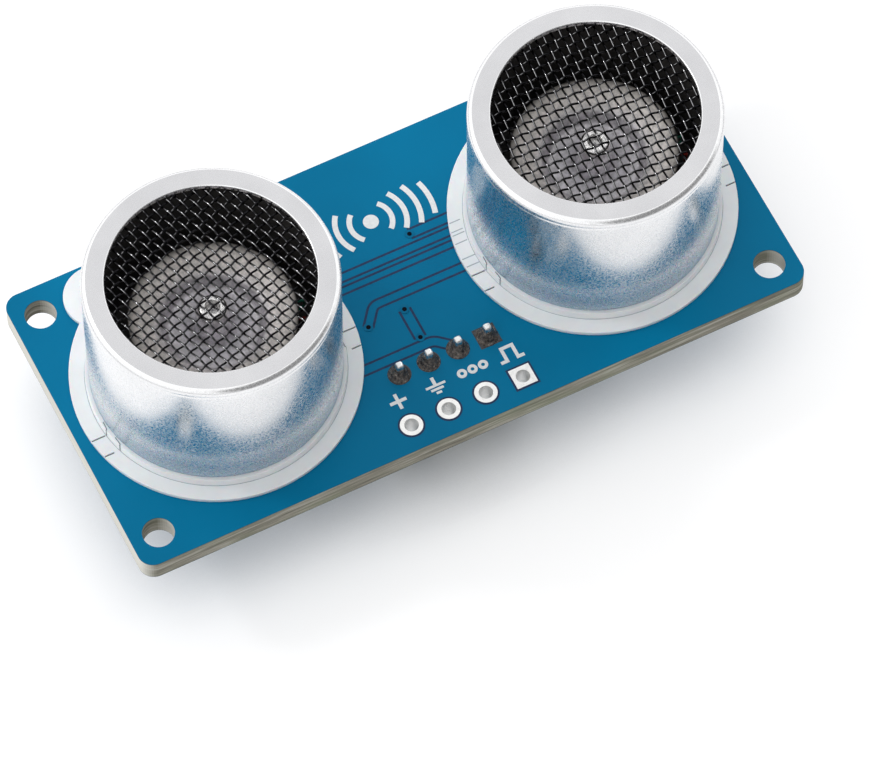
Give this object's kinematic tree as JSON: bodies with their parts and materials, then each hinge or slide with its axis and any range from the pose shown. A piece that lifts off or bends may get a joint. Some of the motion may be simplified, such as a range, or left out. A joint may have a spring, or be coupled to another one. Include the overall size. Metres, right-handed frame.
{
  "type": "ultrasonic distance sensor",
  "caption": "Ultrasonic distance sensor module: two meshed transducer cans on white light rings, on a blue circuit board with corner mounting holes.",
  "frame": {"origin": "centre of the mounting-hole pattern, on the board's rear face", "axes": "+X along the board from the transmitter to the receiver, +Y across the board away from the header row, +Z out of the transducer mouths"},
  "size_m": [0.0454, 0.0208, 0.0192],
  "materials": {
    "solder_mask": "blue solder mask on glass-epoxy laminate",
    "tinned_copper": "hot-air levelled tin",
    "copper": "copper under mask",
    "light_guide": "milky white, slightly translucent",
    "led": "white package with clear window",
    "can_aluminium": "satin drawn aluminium",
    "mesh_steel": "grey woven steel wire",
    "black_moulding": "matt black moulding",
    "cone_aluminium": "pressed thin aluminium",
    "bending_brass": "thin brass disc",
    "piezo_ceramic": "silvered ceramic",
    "silicone": "soft white silicone",
    "pin_metal": "tinned pins and leads",
    "wire_insulation": "thin coloured insulation",
    "solder": "solder with flux residue",
    "connector_white": "white nylon",
    "chip_black": "black moulding compound",
    "crystal_metal": "nickel lid",
    "capacitor_ceramic": "brown ceramic"
  },
  "bodies": {
    "root": {"circuit_board": "solder_mask", "board_header_plating": "tinned_copper", "copper_vias": "copper", "transmitter_light_ring": "light_guide", "receiver_light_ring": "light_guide", "transmitter_leds": "led", "receiver_leds": "led", "transmitter_can": "can_aluminium", "receiver_can": "can_aluminium", "transmitter_mesh": "mesh_steel", "receiver_mesh": "mesh_steel", "transmitter_holder": "black_moulding", "receiver_holder": "black_moulding", "transmitter_cone": "cone_aluminium", "receiver_cone": "cone_aluminium", "transmitter_bending_disc": "bending_brass", "receiver_bending_disc": "bending_brass", "transmitter_piezo_disc": "piezo_ceramic", "receiver_piezo_disc": "piezo_ceramic", "transmitter_cushion": "silicone", "receiver_cushion": "silicone", "transmitter_pins": "pin_metal", "receiver_pins": "pin_metal", "transmitter_lead_wires": "wire_insulation", "receiver_lead_wires": "wire_insulation", "transducer_solder": "solder", "connector_housing": "connector_white", "connector_pins": "pin_metal", "connector_solder": "solder", "controller_chip": "chip_black", "controller_leads": "pin_metal", "amplifier_chip": "chip_black", "amplifier_leads": "pin_metal", "driver_chip": "chip_black", "driver_leads": "pin_metal", "crystal": "crystal_metal", "transistors": "chip_black", "transistor_leads": "pin_metal", "chip_capacitors": "capacitor_ceramic", "chip_resistors": "chip_black", "chip_end_caps": "tinned_copper"}
  },
  "joints": []
}
